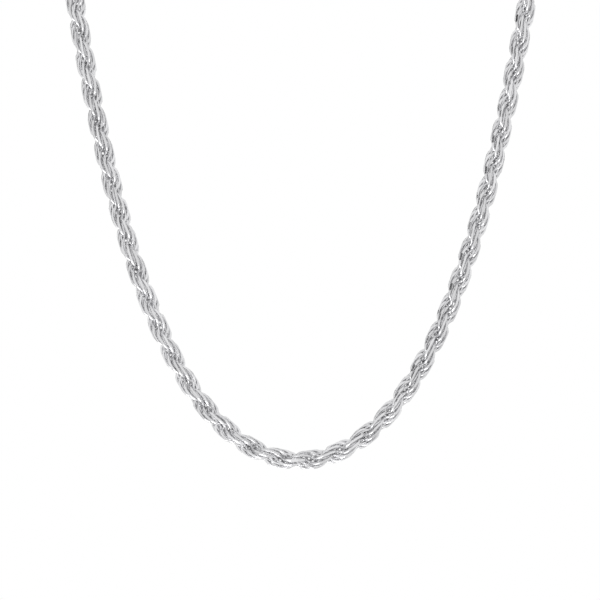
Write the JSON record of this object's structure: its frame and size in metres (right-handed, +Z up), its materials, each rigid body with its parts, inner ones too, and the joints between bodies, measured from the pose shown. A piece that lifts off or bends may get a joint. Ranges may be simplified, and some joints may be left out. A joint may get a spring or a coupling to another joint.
{
  "type": "rope chain necklace",
  "caption": "Diamond-cut rope chain necklace: interlinked silver rings in two twisted strands, hanging in a closed loop with a barrel clasp at the nape.",
  "frame": {"origin": "middle of the neck at shoulder height, where the necklace hangs", "axes": "+Z up, the hanging front towards -Y, the clasp at the nape towards +Y, +X to the right in the picture"},
  "size_m": [0.1284, 0.1007, 0.1875],
  "materials": {
    "chain_silver": "polished silver with diamond-cut flats",
    "clasp_silver": "polished silver"
  },
  "bodies": {
    "root": {"chain_left": "chain_silver", "chain_right": "chain_silver", "clasp": "clasp_silver"}
  },
  "joints": []
}
